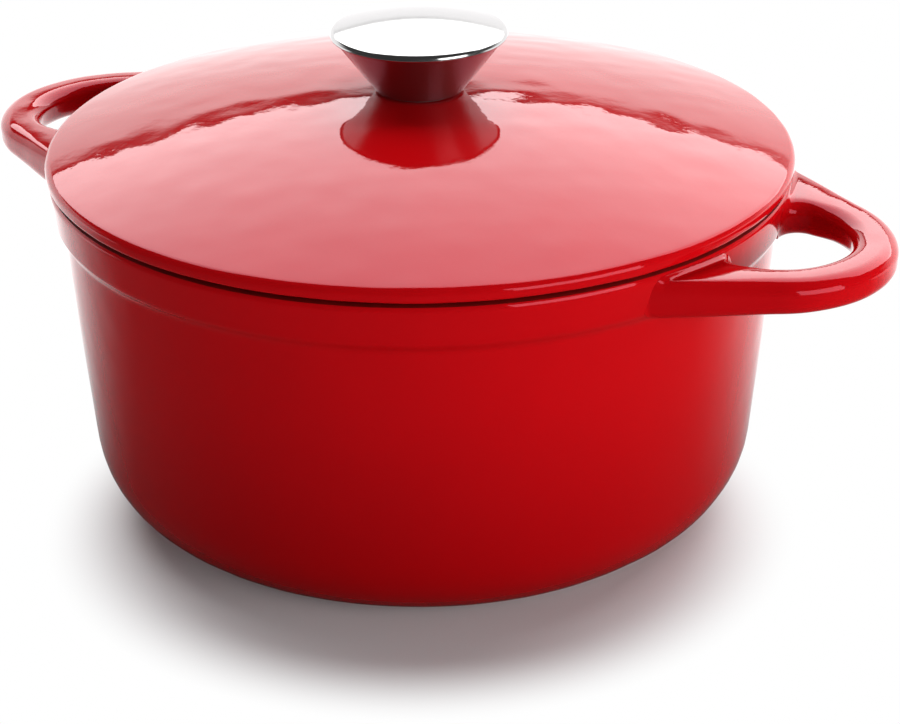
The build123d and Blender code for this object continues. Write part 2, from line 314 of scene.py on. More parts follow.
def rounded_profile(corners, spacing):
    """A section line through corners (radius, height, rounding), and where each point lies along it.

    A corner's arc starts rounding * tan(turn / 2) before the corner. After a turn t it has gone
    rounding * sin(t) along the old heading and rounding * (1 - cos(t)) to the side. A point's station
    is its corner's number on an arc, and half a number more on the straight stretch after it.
    """
    corners = np.asarray(corners, float)
    steps = np.diff(corners[:, :2], axis=0)
    headings = steps / np.linalg.norm(steps, axis=1, keepdims=True)
    points = [corners[:1, :2]]
    stations = [np.zeros(1)]
    for station, (corner, before, after) in enumerate(zip(corners[1:-1], headings, headings[1:]), 1):
        side = np.array((-before[1], before[0]))
        turn = math.atan2(after @ side, after @ before)
        arc_start = corner[:2] - corner[2] * math.tan(abs(turn) / 2) * before
        count = 1 + math.ceil(abs(turn) / ARC_STEP) if corner[2] else 1
        swing = np.linspace(0, abs(turn), count)[:, None]
        aside = (1 - np.cos(swing)) * math.copysign(1, turn) * side
        arc = arc_start + corner[2] * (np.sin(swing) * before + aside)
        run = straight(points[-1][-1], arc_start, spacing)
        points += [run, arc]
        stations += [np.full(len(run), station - 0.5), np.full(len(arc), float(station))]
    run = straight(points[-1][-1], corners[-1, :2], spacing)
    points += [run, corners[-1:, :2]]
    last = len(corners) - 1
    stations += [np.full(len(run), last - 0.5), np.full(1, float(last))]
    return np.concatenate(points), np.concatenate(stations)


def dome_corners(sphere_radius, centre_z, start, end, spacing):
    """Corners without rounding along a dome: height = centre + sqrt(sphere_radius^2 - radius^2)."""
    count = math.ceil(abs(end - start) / spacing)
    radius = np.linspace(start, end, count + 1)
    height = centre_z + np.sqrt(sphere_radius**2 - radius**2)
    return np.column_stack((radius, height, np.zeros(count + 1)))


def edged_dome(sphere_radius, centre_z, side, rounding, end, spacing):
    """Corners without rounding over a dome's edge and up the dome.

    The edge is an arc that touches an upright side and the dome's sphere: its middle lies one rounding
    inside both. It ends where the line from the sphere's centre through that middle meets the sphere.
    """
    middle = side - rounding
    above_centre = math.sqrt((sphere_radius - rounding) ** 2 - middle**2)
    end_turn = math.atan2(above_centre, middle)
    swing = np.linspace(0, end_turn, 1 + math.ceil(end_turn / ARC_STEP))
    radius = middle + rounding * np.cos(swing)
    height = centre_z + above_centre + rounding * np.sin(swing)
    edge = np.column_stack((radius, height, np.zeros(len(swing))))
    return np.concatenate((edge, dome_corners(sphere_radius, centre_z, radius[-1], end, spacing)[1:]))


def waves(points, wavelength, count, seed):
    """Slow waves with a mean square of one: a sum of sines of distance along many directions."""
    draw = np.random.default_rng(seed)
    direction = draw.normal(size=(count, 3))
    direction /= np.linalg.norm(direction, axis=1, keepdims=True)
    pitch = wavelength * draw.uniform(0.6, 1.6, (count, 1))
    phase = draw.uniform(0, 2 * math.pi, count)
    return np.sin(points @ (2 * math.pi * direction / pitch).T + phase).sum(axis=-1) * math.sqrt(2 / count)


def enamel_swell(points, height):
    """How far enamel lies below its highest point: short waves, and long ones 2.5 times as tall."""
    short = waves(points, wavelength=0.016, count=40, seed=3)
    long = waves(points, wavelength=0.07, count=12, seed=5)
    level = height * (short + 2.5 * long)
    return level - level.max()


def grid_faces(rows, columns, rows_close=False):
    """Corner numbers of the quads of a grid whose columns close, and whose rows may close too."""
    row = np.arange(rows if rows_close else rows - 1)[:, None]
    column = np.arange(columns)
    next_row = (row + 1) % rows
    next_column = (column + 1) % columns
    corners = (
        row * columns + column,
        row * columns + next_column,
        next_row * columns + next_column,
        next_row * columns + column,
    )
    return np.stack(corners, axis=-1).reshape(-1, 4)


def pole_faces(ring, pole, at_start):
    """Corner numbers of the triangles between a ring of points and one point that closes it."""
    following = np.roll(ring, -1)
    poles = np.full_like(ring, pole)
    return np.column_stack((poles, following, ring) if at_start else (ring, following, poles))


def capped_faces(rows, columns):
    """Corner numbers of a grid whose columns close, and of the triangles to the two points after it.

    The first of those points closes the first row, and the second one the last row.
    """
    first_row = np.arange(columns)
    last_row = first_row + (rows - 1) * columns
    faces = grid_faces(rows, columns).tolist()
    faces += pole_faces(first_row, rows * columns, at_start=True).tolist()
    faces += pole_faces(last_row, rows * columns + 1, at_start=False).tolist()
    return faces


class Surface:
    """Points, faces and each face's finish, before they become a mesh."""

    def __init__(self, points, faces, finish):
        self.points = points
        self.faces = faces
        self.finish = finish

    def __add__(self, other):
        """Both surfaces in one, the second one's corner numbers moved past the first one's."""
        moved = [(np.asarray(face) + len(self.points)).tolist() for face in other.faces]
        return Surface(
            np.concatenate((self.points, other.points)),
            self.faces + moved,
            np.concatenate((self.finish, other.finish)),
        )


def turned(profile, finish, turns, loop=False, swell=0.0):
    """A section line swung round the Z axis: (r cos a, r sin a, z).

    A loop closes on itself. Any other line starts and ends on the axis, and a point closes each end.
    The finish has one number for each stretch of the line. Enamel sinks along the section's normal.
    """
    rings = profile if loop else profile[1:-1]
    along = np.roll(profile, -1, axis=0) - np.roll(profile, 1, axis=0)
    along = along if loop else along[1:-1]
    normal = np.column_stack((along[:, 1], -along[:, 0])) / np.linalg.norm(along, axis=1, keepdims=True)
    turn = np.linspace(0, 2 * math.pi, turns, endpoint=False)

    def swung(line):
        """The line's points or directions at every turn."""
        radial, upright = line[:, :1], line[:, 1:]
        return np.stack((radial * np.cos(turn), radial * np.sin(turn), upright + 0 * turn), axis=-1)

    points = swung(rings)
    if swell:
        points = points + enamel_swell(points, swell)[..., None] * swung(normal)
    points = points.reshape(-1, 3)
    if loop:
        faces = grid_faces(len(rings), turns, rows_close=True).tolist()
        return Surface(points, faces, np.repeat(finish, turns))
    ends = [(0, 0, profile[0, 1]), (0, 0, profile[-1, 1])]
    face_finish = np.repeat(np.concatenate((finish[1:-1], finish[:1], finish[-1:])), turns)
    return Surface(np.concatenate((points, ends)), capped_faces(len(rings), turns), face_finish)


def stretches(stations):
    """The middle station of each stretch between neighbouring points of a section line."""
    return (stations[:-1] + stations[1:]) / 2


def pot_profile(sizes):
    """The pot's section, from the middle of its underside up the outside and down to its floor's middle."""
    slope = math.tan(sizes.wall_lean)
    band_root = sizes.band_bottom - sizes.band_shelf
    inner_radius = sizes.wall_radius - sizes.wall_thickness / math.cos(sizes.wall_lean)
    corners = (
        (0, sizes.foot_depth, 0),
        (sizes.foot_radius - sizes.foot_slope, sizes.foot_depth, sizes.foot_edge),
        (sizes.foot_radius, 0, sizes.foot_edge),
        (sizes.wall_radius, 0, sizes.foot_corner),
        (sizes.wall_radius + slope * band_root, band_root, sizes.band_hollow),
        (sizes.band_bottom_radius, sizes.band_bottom, sizes.band_edge),
        (sizes.band_top_radius, sizes.height, sizes.rim_outer_edge),
        (inner_radius + slope * sizes.height, sizes.height, sizes.rim_inner_edge),
        (inner_radius + slope * sizes.floor_thickness, sizes.floor_thickness, sizes.floor_corner),
        (0, sizes.floor_thickness, 0),
    )
    return rounded_profile(corners, CASTING_SPACING)


def pot_body(sizes):
    """The turned pot: red outside, cream inside, and a dark bare coat on the foot and the rim, where it
    also paints the gap's shade.
    """
    profile, stations = pot_profile(sizes)
    middle = stretches(stations)
    foot = (middle > FOOT_EDGE) & (middle < FOOT_CORNER)
    level = (profile[:-1, 1] + profile[1:, 1]) / 2
    # The dark strip at the rim is the bare rim and also painted shade of the gap under the lid.
    rim = level > sizes.height - sizes.bare_rim_and_gap_shade
    finish = np.select((foot | rim, middle >= RIM_INNER), (GROUND_AND_GAP_SHADE, CREAM), RED)
    return turned(profile, finish, TURNS, swell=sizes.swell)


def arc_points(centre, radius, start, end, share):
    """Points on an arc, at shares of the way from a start angle to an end angle."""
    turn = start + (end - start) * share
    return centre + radius * np.column_stack((np.cos(turn), np.sin(turn)))


def handle_outlines(sizes):
    """The handle's outer edge and its opening's edge in plan, from the tip to one root inside the wall.

    Both are arcs about the tip's centre. The outer edge then runs straight at the side angle, and the
    opening goes on round. A fillet turns each of them along the band, touching the root circle, and the
    last stretch sinks into the wall. Points with the same number in both lie across from each other.
    """
    nose = np.array((sizes.reach - sizes.nose_radius, 0.0))
    across = np.array((math.sin(sizes.side_angle), math.cos(sizes.side_angle)))
    along = np.array((-across[1], across[0]))
    arc_end = math.pi / 2 - sizes.side_angle
    hole_radius = sizes.nose_radius - sizes.width

    outer_from_side = nose @ across + sizes.nose_radius + sizes.outer_root
    outer_from_axis = sizes.root_radius + sizes.outer_root
    outer_back = math.sqrt(outer_from_axis**2 - outer_from_side**2)
    outer_fillet = outer_from_side * across - outer_back * along
    side_start = nose + sizes.nose_radius * across
    side_end = outer_fillet - sizes.outer_root * across

    hole_from_nose = hole_radius - sizes.inner_root
    hole_from_axis = sizes.root_radius + sizes.inner_root
    hole_x = (hole_from_axis**2 + nose[0] ** 2 - hole_from_nose**2) / (2 * nose[0])
    hole_fillet = np.array((hole_x, math.sqrt(hole_from_axis**2 - hole_x**2)))
    hole_end = math.atan2(hole_fillet[1], hole_fillet[0] - nose[0])

    tip, side, fillet, sunk = (np.linspace(0, 1, count) for count in HANDLE_POINTS)
    outer_turn = math.atan2(outer_fillet[1], outer_fillet[0])
    outer = [
        arc_points(nose, sizes.nose_radius, 0, arc_end, tip),
        side_start + side[1:, None] * (side_end - side_start),
        arc_points(outer_fillet, sizes.outer_root, arc_end - math.pi, outer_turn - math.pi, fillet[1:]),
    ]
    hole_turn = math.atan2(hole_fillet[1], hole_fillet[0])
    hole = [
        arc_points(nose, hole_radius, 0, arc_end, tip),
        arc_points(nose, hole_radius, arc_end, hole_end, side[1:]),
        arc_points(hole_fillet, sizes.inner_root, hole_end, hole_turn + math.pi, fillet[1:]),
    ]
    depth = 1 - sunk[1:, None] * (1 - sizes.sunk_radius / sizes.root_radius)
    outer.append(outer[-1][-1] * depth)
    hole.append(hole[-1][-1] * depth)
    return np.concatenate(outer), np.concatenate(hole)


def bar_section():
    """A rounded bar's outline, from its outer side down and round, as four rows.

    The rows are the place of the corner's middle across the bar (0 to 1) and up it (-1 to 1), and the
    way from that middle to the outline, across and up.
    """
    corner_across = (1, 0, 0, 1)
    corner_up = (-1, -1, 1, 1)
    run_points = (14, 2, 14, 2)
    rows = []
    for corner, count in enumerate(run_points):
        following = (corner + 1) % 4
        run = np.linspace(0, 1, count + 2)[1:-1]
        arc = np.linspace(corner, corner + 1, CORNER_POINTS)
        swing = np.concatenate((arc, np.full(count, corner + 1.0)))
        share = np.concatenate((np.zeros(CORNER_POINTS), run))
        rows.append(
            (
                corner_across[corner] + share * (corner_across[following] - corner_across[corner]),
                corner_up[corner] + share * (corner_up[following] - corner_up[corner]),
                np.cos(swing * math.pi / 2),
                -np.sin(swing * math.pi / 2),
            )
        )
    return np.concatenate(rows, axis=1)


def handle_loop(sizes, wall, swell):
    """One handle: a rounded bar whose section lies between the outer edge and the opening's edge.

    The section's points are edge + edge * way + share * (width - 2 * edge) across, and the same up the
    height. The upper side is crowned: it lies crown * (2 * share - 1)^2 below its middle. It falls towards
    the tip, turned about the middle of the loop's length, and near the wall it climbs in a hollow ramp,
    rise * (1 - distance / spread)^2.
    """
    outer, hole = handle_outlines(sizes)
    outer = np.concatenate((outer[:0:-1] * (1, -1), outer))
    hole = np.concatenate((hole[:0:-1] * (1, -1), hole))
    width = np.linalg.norm(outer - hole, axis=1)[:, None]
    across, up, way_across, way_up = bar_section()
    share = (sizes.edge * (1 + way_across) + across * (width - 2 * sizes.edge)) / width
    plan = hole[:, None] + share[..., None] * (outer - hole)[:, None]
    half_height = (sizes.top - sizes.bottom) / 2
    level = up * (half_height - sizes.edge) + sizes.edge * way_up
    from_axis = np.linalg.norm(plan, axis=-1)
    plan = plan * np.maximum(1, sizes.sunk_radius / from_axis)[..., None]
    middle_z = (sizes.top + sizes.bottom) / 2
    from_wall = np.maximum(from_axis - np.interp(middle_z + level, *wall), 0)
    nearness = np.maximum(1 - from_wall / sizes.root_spread, 0)
    fall = math.tan(sizes.droop) * (plan[..., 0] - (sizes.reach + sizes.root_radius) / 2)
    lift = sizes.root_rise * nearness**2 - sizes.crown * (2 * share - 1) ** 2 - fall
    height = middle_z + level + lift * np.maximum(level, 0) / half_height
    points = np.concatenate((plan, height[..., None]), axis=-1)
    centre = points.mean(axis=1, keepdims=True)
    outwards = (points - centre) / np.linalg.norm(points - centre, axis=-1, keepdims=True)
    points = points + enamel_swell(points, swell)[..., None] * outwards

    faces = capped_faces(*points.shape[:2])
    points = np.concatenate((points.reshape(-1, 3), centre[0], centre[-1]))
    return Surface(points, faces, np.full(len(faces), RED))


def lid_profile(sizes, rim_height):
    """The lid's section, once round: from the screw hole along the underside, the ring and the dome.

    Also gives each stretch's middle station, and the numbers of the first corners of ring and edge.
    """
    centre_z = sizes.dome_top - sizes.dome_radius
    under_dome = sizes.dome_radius - sizes.thickness
    ring_inner = sizes.ring_radius - sizes.ring_width
    seat_radius = math.sqrt(sizes.dome_radius**2 - (sizes.seat_height - centre_z) ** 2)

    def dome_height(radius, sphere):
        """Height of a sphere about the dome's centre at a radius from the axis."""
        return centre_z + math.sqrt(sphere**2 - radius**2)

    hole_middle = (sizes.hole_radius, (sizes.pad_height + sizes.seat_height) / 2, 0)
    under_start = sizes.pad_radius + CORNER_ROOM * sizes.pad_edge
    under_end = ring_inner - sizes.ring_hollow
    underside = dome_corners(under_dome, centre_z, under_start, under_end, CASTING_SPACING)
    dome_end = seat_radius + sizes.pad_edge
    dome = edged_dome(sizes.dome_radius, centre_z, sizes.radius, sizes.upper_edge, dome_end, DOME_SPACING)
    pad = (
        hole_middle,
        (sizes.hole_radius, sizes.pad_height, sizes.pad_edge),
        (sizes.pad_radius, sizes.pad_height, sizes.pad_edge),
        (sizes.pad_radius, dome_height(sizes.pad_radius, under_dome), sizes.pad_edge),
    )
    ring = (
        (ring_inner, dome_height(ring_inner, under_dome), sizes.ring_hollow),
        (ring_inner, sizes.ring_bottom, sizes.ring_edge),
        (sizes.ring_radius, sizes.ring_bottom, sizes.ring_edge),
        (sizes.ring_radius, rim_height, sizes.pad_edge),
    )
    lower_edge = ((sizes.radius, rim_height, sizes.lower_edge),)
    seat = ((sizes.hole_radius, sizes.seat_height, sizes.pad_edge), hole_middle)
    corners = np.concatenate((pad, underside, ring, lower_edge, dome, seat))
    ring_start = len(pad) + len(underside)
    edge_start = ring_start + len(ring)
    profile, stations = rounded_profile(corners, CASTING_SPACING)
    return profile[:-1], stretches(stations), ring_start, edge_start


def lid_body(sizes, rim_height):
    """The turned lid: red above, cream below, and the dark bare coat of the painted gap shade where it
    meets the rim.
    """
    profile, middle, ring_start, edge_start = lid_profile(sizes, rim_height)
    contact = (middle > ring_start + 2) & (middle < edge_start)
    finish = np.select((contact, middle <= ring_start + 2), (GROUND_AND_GAP_SHADE, CREAM), RED)
    return turned(profile, finish, TURNS, loop=True, swell=sizes.swell)


def basting_nubs(sizes):
    """Small domes under the lid: half spheres at even angles on their rings."""
    centre_z = sizes.dome_top - sizes.dome_radius
    under_dome = sizes.dome_radius - sizes.thickness
    swing = np.linspace(0, math.pi / 2, NUB_STEPS)
    bowl = np.column_stack((np.sin(swing), -np.cos(swing)))
    profile = sizes.nub_radius * np.concatenate((bowl, [(0, 0)]))
    nub = turned(profile, np.full(len(profile) - 1, CREAM), NUB_TURNS)
    nubs = []
    for ring_radius, count in NUB_RINGS:
        height = centre_z + math.sqrt(under_dome**2 - ring_radius**2) + sizes.nub_radius - sizes.nub_height
        for turn in 2 * math.pi * np.arange(count) / count:
            spot = (ring_radius * math.cos(turn), ring_radius * math.sin(turn), height)
            nubs.append(Surface(nub.points + spot, nub.faces, nub.finish))
    return nubs


def skirt_profile(sizes):
    """The knob's cone, once round its sheet: base, outside of the cone, and back down inside."""
    slant = (sizes.cone_radius - sizes.base_radius) / (sizes.cap_bottom - sizes.bottom)
    sheet_across = sizes.sheet * math.hypot(1, slant)
    base_top = sizes.bottom + sizes.sheet
    inner_base = sizes.base_radius + slant * sizes.sheet - sheet_across
    hole_middle = (sizes.hole_radius, (sizes.bottom + base_top) / 2, 0)
    corners = (
        hole_middle,
        (sizes.hole_radius, sizes.bottom, sizes.crease),
        (sizes.base_radius, sizes.bottom, sizes.base_edge),
        (sizes.cone_radius, sizes.cap_bottom, sizes.crease),
        (sizes.cone_radius - sheet_across, sizes.cap_bottom, sizes.crease),
        (inner_base, base_top, sizes.crease),
        (sizes.hole_radius, base_top, sizes.crease),
        hole_middle,
    )
    profile, _ = rounded_profile(corners, KNOB_SPACING)
    return profile[:-1]


def cap_profile(sizes):
    """The cap's section, from the middle of its underside round its lip and edge to its peak."""
    edge_top = sizes.cap_bottom + sizes.cap_edge_height
    rise = sizes.cap_top - edge_top
    dome_radius = (sizes.cap_radius**2 + rise**2) / (2 * rise)
    centre_z = sizes.cap_top - dome_radius
    under_dome = dome_radius - sizes.cap_sheet
    lip_radius = sizes.cap_radius - sizes.lip_width
    room = CORNER_ROOM * sizes.crease
    under = dome_corners(under_dome, centre_z, sizes.pad_radius + room, lip_radius - room, DOME_SPACING)
    dome = edged_dome(dome_radius, centre_z, sizes.cap_radius, sizes.cap_upper_edge, 0.0, KNOB_SPACING)
    pad_top = under[0, 1]
    lip_top = under[-1, 1]
    inside = (
        (0, sizes.pad_height, 0),
        (sizes.pad_radius, sizes.pad_height, sizes.crease),
        (sizes.pad_radius, pad_top, sizes.crease),
    )
    lip = (
        (lip_radius, lip_top, sizes.crease),
        (lip_radius, sizes.cap_bottom, sizes.crease),
        (sizes.cap_radius, sizes.cap_bottom, sizes.cap_lower_edge),
    )
    profile, _ = rounded_profile(np.concatenate((inside, under, lip, dome)), KNOB_SPACING)
    return profile


def add_piece(name, surface, finishes, body, node):
    """Makes a mesh object of a surface, which rides on a body and stands for a node of the frame."""
    mesh = bpy.data.meshes.new(name)
    mesh.from_pydata(surface.points.tolist(), [], surface.faces, shade_flat=False)
    for finish in finishes:
        mesh.materials.append(finish)
    mesh.polygons.foreach_set("material_index", surface.finish.astype(np.int32))
    mesh.update()
    piece = bpy.data.objects.new(name, mesh)
    bpy.context.scene.collection.objects.link(piece)
    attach(piece, body)
    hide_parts(node)


# Shader maths

class Socket:
    """A node's output. Sums, differences and products of outputs and numbers add Math nodes."""

    def __init__(self, graph, output):
        self.graph = graph
        self.output = output

    def _maths(self, operation, first, second):
        return self.graph.node("ShaderNodeMath", {"operation": operation}, {0: first, 1: second})

    def __add__(self, other):
        return self._maths("ADD", self, other)

    def __radd__(self, other):
        return self._maths("ADD", other, self)

    def __sub__(self, other):
        return self._maths("SUBTRACT", self, other)

    def __rsub__(self, other):
        return self._maths("SUBTRACT", other, self)

    def __mul__(self, other):
        return self._maths("MULTIPLY", self, other)

    def __rmul__(self, other):
        return self._maths("MULTIPLY", other, self)


class Graph:
    """The nodes of one material or of the world."""

    def __init__(self, owner):
        owner.use_nodes = True
        self.tree = owner.node_tree
        self.tree.nodes.clear()

    def node(self, kind, settings=None, inputs=None, output=0):
        """Adds a node with its settings and the values or links of its sockets, and gives one output."""
        made = self.tree.nodes.new(kind)
        for name, value in (settings or {}).items():
            setattr(made, name, value)
        for name, value in (inputs or {}).items():
            if isinstance(value, Socket):
                self.tree.links.new(value.output, made.inputs[name])
            else:
                made.inputs[name].default_value = value
        return Socket(self, made.outputs[output]) if made.outputs else None

    def place(self):
        """The surface's place on its own object."""
        return self.node("ShaderNodeTexCoord", output="Object")

    def stretched(self, vector, factors):
        """A vector with each part multiplied by its own factor."""
        return self.node("ShaderNodeVectorMath", {"operation": "MULTIPLY"}, {0: vector, 1: factors})

    def along(self, vector, direction):
        """How far a vector goes along a direction."""
        settings = {"operation": "DOT_PRODUCT"}
        return self.node("ShaderNodeVectorMath", settings, {0: vector, 1: direction}, output="Value")

    def noise(self, vector, scale, detail=2.0):
        """Soft noise from 0 to 1."""
        return self.node("ShaderNodeTexNoise", None, {"Vector": vector, "Scale": scale, "Detail": detail})

    def ease(self, value, start, end):
        """0 up to a start and 1 from an end, with a smooth step between them."""
        inputs = {"Value": value, "From Min": start, "From Max": end}
        return self.node("ShaderNodeMapRange", {"interpolation_type": "SMOOTHSTEP"}, inputs)

    def mix(self, factor, first, second):
        """A colour between two colours."""
        return self.node("ShaderNodeMix", {"data_type": "RGBA"}, {0: factor, 6: first, 7: second}, output=2)

    def tones(self, factor, rgb, low, high):
        """A colour that changes between two multiples of itself."""
        return self.mix(factor, shade(rgb, low), shade(rgb, high))

    def bump(self, height, distance):
        """The surface's normal with a relief of the given height in metres."""
        return self.node("ShaderNodeBump", None, {"Height": height, "Distance": distance})

    def surface(self, shader):
        """Joins a shader to the material's output."""
        self.node("ShaderNodeOutputMaterial", None, {"Surface": shader})

    def principled(self, **inputs):
        """Joins a principled shader, whose sockets are named with _ for each space, to the output."""
        named = {name.replace("_", " "): value for name, value in inputs.items()}
        self.surface(self.node("ShaderNodeBsdfPrincipled", None, named))


def shade(rgb, factor=1.0):
    """A colour with all parts multiplied by a factor, and with an alpha of one."""
    return (*(min(1.0, part * factor) for part in rgb), 1.0)


def new_finish(name):
    """A new material and its graph."""
    material = bpy.data.materials.new(name)
    return material, Graph(material)


def red_enamel(colours):
    """Thick glossy enamel: a clear red with slow changes of tone, darkened towards the foot by painted
    shade.

    It has faint smears and an orange-peel skin.
    """
    finish, graph = new_finish("glossy_red")
    where = graph.place()
    tone = graph.noise(where, scale=22.0)
    smear = graph.noise(where, scale=65.0, detail=4.0)
    peel = graph.noise(where, scale=210.0) + 0.35 * graph.noise(where, scale=620.0)
    height = graph.node("ShaderNodeSeparateXYZ", None, {0: where}, output="Z")
    clear = graph.tones(tone, colours.enamel, 0.92, 1.06)
    # Painted shade: below the full tone height the red fades to a darker copy of itself at the foot.
    above_foot = graph.ease(height, 0.0, colours.full_tone_height)
    graph.principled(
        Base_Color=graph.mix(above_foot, shade(colours.enamel, colours.foot_painted_shade), clear),
        Roughness=0.022 + 0.035 * smear,
        IOR=1.5,
        Specular_Tint=shade(colours.sheen_tint),
        Normal=graph.bump(peel, 0.00003),
    )
    return finish


def cream_enamel(colours):
    """Pale glossy enamel with a warm mottle and sparse fine specks."""
    finish, graph = new_finish("glossy_cream")
    where = graph.place()
    mottle = graph.noise(where, scale=40.0, detail=3.0)
    base = graph.tones(mottle, colours.inside, 0.94, 1.04)
    specks = graph.ease(graph.noise(where, scale=900.0, detail=0.0), 0.74, 0.78)
    graph.principled(
        Base_Color=graph.mix(specks, base, shade(colours.inside, 0.45)),
        Roughness=0.1 + 0.08 * graph.noise(where, scale=120.0),
        IOR=1.5,
        Normal=graph.bump(graph.noise(where, scale=260.0), 0.00003),
    )
    return finish


def ground_coat_and_gap_shade(colours):
    """A dark red bare coat, dull and finely grained, on the rim and the foot; it also paints the gap's
    shade.
    """
    finish, graph = new_finish("dull_ground_and_gap_shade")
    where = graph.place()
    grain = graph.noise(where, scale=1400.0, detail=3.0)
    graph.principled(
        Base_Color=graph.tones(graph.noise(where, scale=160.0), colours.ground_and_gap_shade, 0.7, 1.5),
        Roughness=0.5 + 0.25 * grain,
        Specular_IOR_Level=0.02,
        Normal=graph.bump(grain, 0.00004),
    )
    return finish


def brushed_steel(colours):
    """Stainless steel brushed round the axis: fine lines that stay at one height and fade along it."""
    finish, graph = new_finish("brushed_cone")
    where = graph.place()
    fine = graph.noise(graph.stretched(where, (30.0, 30.0, 5200.0)), scale=1.0, detail=3.0)
    broad = graph.noise(graph.stretched(where, (16.0, 16.0, 1100.0)), scale=1.0, detail=2.0)
    graph.principled(
        Base_Color=graph.tones(broad, colours.brushed, 0.9, 1.08),
        Metallic=1.0,
        Roughness=0.18 + 0.1 * fine,
        Anisotropic=0.55,
        Anisotropic_Rotation=0.25,
        Normal=graph.bump(fine + 0.5 * broad, 0.000007),
    )
    return finish


def polished_steel(colours):
    """Stainless steel polished bright, with faint rings and hairlines left by the wheel."""
    finish, graph = new_finish("polished_cap")
    where = graph.place()
    flat = graph.stretched(where, (1.0, 1.0, 0.0))
    radius = graph.node("ShaderNodeVectorMath", {"operation": "LENGTH"}, {0: flat}, output="Value")
    rings = graph.node("ShaderNodeTexNoise", {"noise_dimensions": "1D"}, {"W": radius, "Scale": 2600.0})
    hairs = graph.noise(graph.stretched(where, (2200.0, 90.0, 90.0)), scale=1.0, detail=2.0)
    graph.principled(
        Base_Color=graph.tones(rings, colours.polished, 0.96, 1.02),
        Metallic=1.0,
        Roughness=0.11 + 0.03 * rings + 0.03 * graph.ease(hairs, 0.62, 0.78),
        Specular_Tint=shade(colours.polished_edge),
        Normal=graph.bump(rings, 0.0000008),
    )
    return finish


def screw_steel(colours):
    """Plain bright steel of a screw and its washers, a little dull and uneven."""
    finish, graph = new_finish("plain_screw")
    where = graph.place()
    stain = graph.noise(where, scale=350.0, detail=4.0)
    graph.principled(
        Base_Color=graph.tones(stain, colours.screw, 0.75, 1.1),
        Metallic=1.0,
        Roughness=0.25 + 0.2 * stain,
        Normal=graph.bump(graph.noise(where, scale=2600.0), 0.00001),
    )
    return finish


def gasket_rubber(colours):
    """Black heat-proof rubber with a dusty bloom."""
    finish, graph = new_finish("black_gasket")
    where = graph.place()
    bloom = graph.noise(where, scale=500.0, detail=4.0)
    graph.principled(
        Base_Color=graph.tones(bloom, colours.rubber, 1.0, 2.2),
        Roughness=0.55 + 0.25 * bloom,
        Normal=graph.bump(graph.noise(where, scale=3000.0), 0.00002),
    )
    return finish


# Stage

def heading(stage, turn):
    """A level direction: straight away from the camera's place, then turned to the right by an angle."""
    away = np.array(stage.aim) - np.array(stage.eye)
    away = away * (1, 1, 0) / math.hypot(away[0], away[1])
    return math.cos(turn) * away + math.sin(turn) * np.cross(away, UP)


def add_camera(stage):
    """The camera: at its eye, looking at its aim, turned about its line of sight."""
    look = (Vector(stage.aim) - Vector(stage.eye)).normalized()
    right = look.cross(Vector(UP)).normalized()
    above = right.cross(look)
    rolled_right = math.cos(stage.roll) * right + math.sin(stage.roll) * above
    rolled_above = math.cos(stage.roll) * above - math.sin(stage.roll) * right
    camera = bpy.data.objects.new("camera", bpy.data.cameras.new("camera"))
    camera.data.sensor_fit = "HORIZONTAL"
    camera.data.sensor_width = 36.0
    camera.data.lens = stage.lens
    axes = Matrix((rolled_right, rolled_above, -look)).transposed()
    camera.matrix_world = Matrix.Translation(stage.eye) @ axes.to_4x4()
    bpy.context.scene.collection.objects.link(camera)
    bpy.context.scene.camera = camera


def looked_at(graph):
    """1 for rays from the camera, and 1 for rays off a shiny surface or through glass; 0 for all others."""
    kinds = ("Is Camera Ray", "Is Glossy Ray", "Is Transmission Ray")
    camera, glossy, through = (graph.node("ShaderNodeLightPath", output=kind) for kind in kinds)
    return camera, glossy + through


def add_floor(colours, stage):
    """A pale floor that takes the shadow and turns white away from the pot where it is looked at."""
    half = stage.floor_half
    mesh = bpy.data.meshes.new("floor")
    sides = [(-half, -half), (half, -half), (half, half), (-half, half)]
    mesh.from_pydata([(x, y, -stage.floor_drop) for x, y in sides], [], [(0, 1, 2, 3)])
    floor = bpy.data.objects.new("floor", mesh)
    bpy.context.scene.collection.objects.link(floor)
    finish, graph = new_finish("floor")
    camera, mirrored = looked_at(graph)
    where = graph.place()
    points = {0: where, 1: stage.shadow_middle}
    distance = graph.node("ShaderNodeVectorMath", {"operation": "DISTANCE"}, points, output="Value")
    outside = graph.ease(distance, stage.shadow_core, stage.shadow_end)
    behind = graph.along(where, heading(stage, stage.mirrored_turn))
    far = graph.ease(behind, stage.mirrored_start, stage.mirrored_end)

    def glow(strength):
        """An even white light."""
        return graph.node("ShaderNodeEmission", None, {"Color": shade((1, 1, 1)), "Strength": strength})

    tone = graph.mix(mirrored, shade(colours.floor), shade(colours.dim_floor))
    matt = graph.node("ShaderNodeBsdfDiffuse", None, {"Color": tone})
    seen = graph.node("ShaderNodeMixShader", None, {0: camera * outside, 1: matt, 2: glow(1.0)})
    bright = glow(stage.backdrop_light)
    graph.surface(graph.node("ShaderNodeMixShader", None, {0: mirrored * far, 1: seen, 2: bright}))
    mesh.materials.append(finish)


